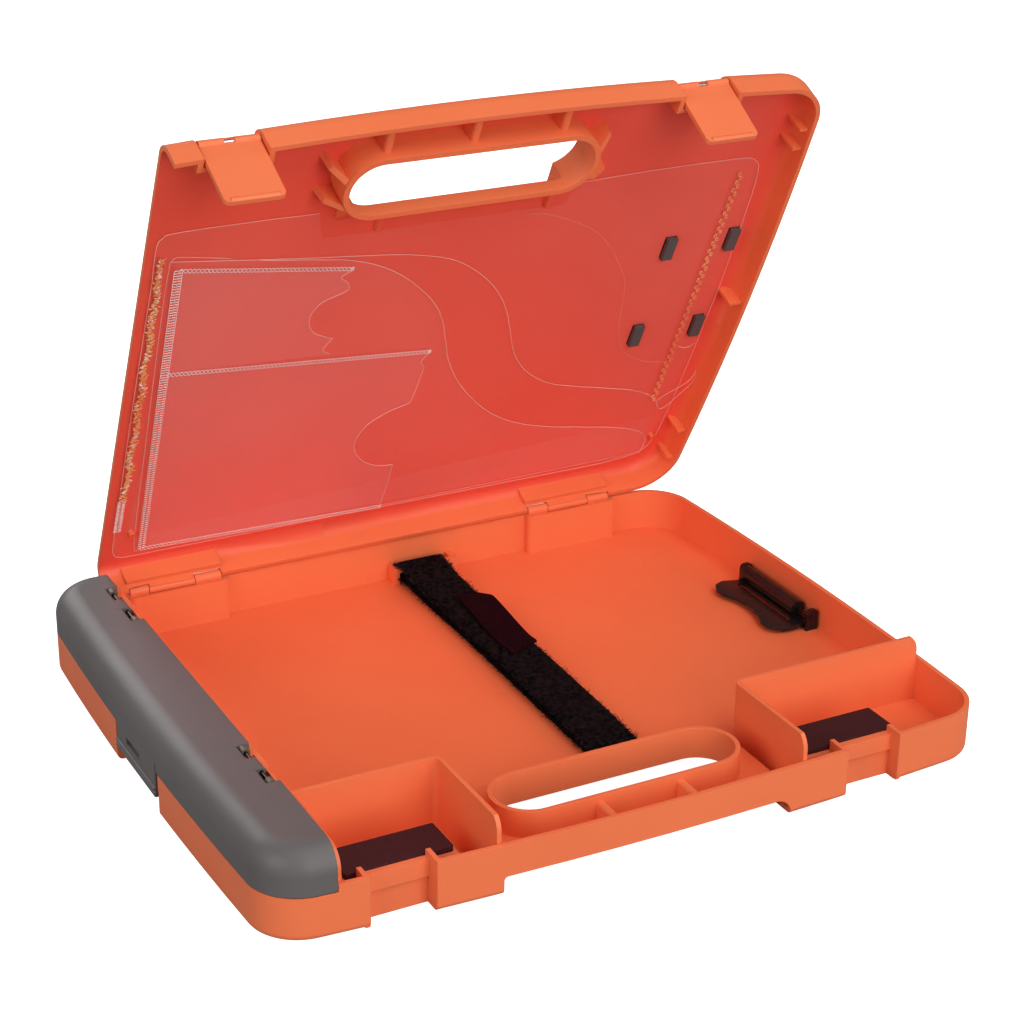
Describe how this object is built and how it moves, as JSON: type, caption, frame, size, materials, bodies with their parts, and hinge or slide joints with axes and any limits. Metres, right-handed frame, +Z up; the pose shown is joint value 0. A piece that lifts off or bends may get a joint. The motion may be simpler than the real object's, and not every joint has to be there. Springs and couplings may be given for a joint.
{
  "type": "document and kit carry case",
  "caption": "Flat hard-shell carry case standing open: orange tray with corner compartments, hinged lid with clear pockets, grey end door, hand slot, strap and spring clip.",
  "frame": {"origin": "centre of the tray's underside", "axes": "+Z up, -Y towards the handle at the front, +X towards the tray's closed end, away from the end door"},
  "size_m": [0.371, 0.3088, 0.2953],
  "materials": {
    "orange_shell": "fine moulded texture, satin",
    "grey_shell": "satin",
    "black_strap": "looped pile",
    "hook_tape": "smooth woven back",
    "black_plastic": "semi-gloss",
    "pin_steel": "drawn wire",
    "black_steel": "blackened wire",
    "spring_steel": "drawn wire",
    "pad_rubber": "matt",
    "grey_plate": "satin",
    "clear_film": "clear vinyl, welded edges"
  },
  "bodies": {
    "tray": {"base_tray": "orange_shell", "hinge_pin_left": "pin_steel", "hinge_pin_right": "pin_steel", "door_pin_front": "black_steel", "door_pin_rear": "black_steel", "strap_bridge": "orange_shell", "strap_lower": "black_strap", "strap_upper": "black_strap", "strap_hook_end": "hook_tape", "clip_bracket": "black_plastic", "clip_pin": "black_steel", "clip_spring": "spring_steel", "clip_rivets": "black_steel", "rubber_pad_left": "pad_rubber", "rubber_pad_right": "pad_rubber"},
    "lid": {"lid": "orange_shell", "latch_pin_left": "pin_steel", "latch_pin_right": "pin_steel", "label_plate": "grey_plate", "pocket_back_film": "clear_film", "pocket_front_film": "clear_film", "pocket_flap_film": "clear_film", "pocket_small_upper": "clear_film", "pocket_small_lower": "clear_film"},
    "door": {"end_door": "grey_shell"},
    "flap_left": {"latch_flap_left": "orange_shell"},
    "flap_right": {"latch_flap_right": "orange_shell"},
    "lever": {"clip_lever": "black_plastic"}
  },
  "joints": [
    {"name": "lid_hinge", "type": "hinge", "parent": "tray", "child": "lid", "pos_m": [0, 0.147, 0.026], "axis": [1, 0, 0], "range_deg": [-45, 63]},
    {"name": "door_hinge", "type": "hinge", "parent": "tray", "child": "door", "pos_m": [-0.1545, 0, 0.0402], "axis": [0, 1, 0], "range_deg": [0, 90]},
    {"name": "latch_left_hinge", "type": "hinge", "parent": "lid", "child": "flap_left", "pos_m": [-0.1225, 0.02353, 0.28924], "axis": [-1, 0, 0], "range_deg": [0, 98]},
    {"name": "latch_right_hinge", "type": "hinge", "parent": "lid", "child": "flap_right", "pos_m": [0.1135, 0.02353, 0.28924], "axis": [-1, 0, 0], "range_deg": [0, 101]},
    {"name": "clip_lever_hinge", "type": "hinge", "parent": "tray", "child": "lever", "pos_m": [0.1766, 0.027, 0.01], "axis": [0, 1, 0], "range_deg": [0, 50], "stiffness_Nm_per_rad": 0.05, "springref_deg": -17.19}
  ]
}
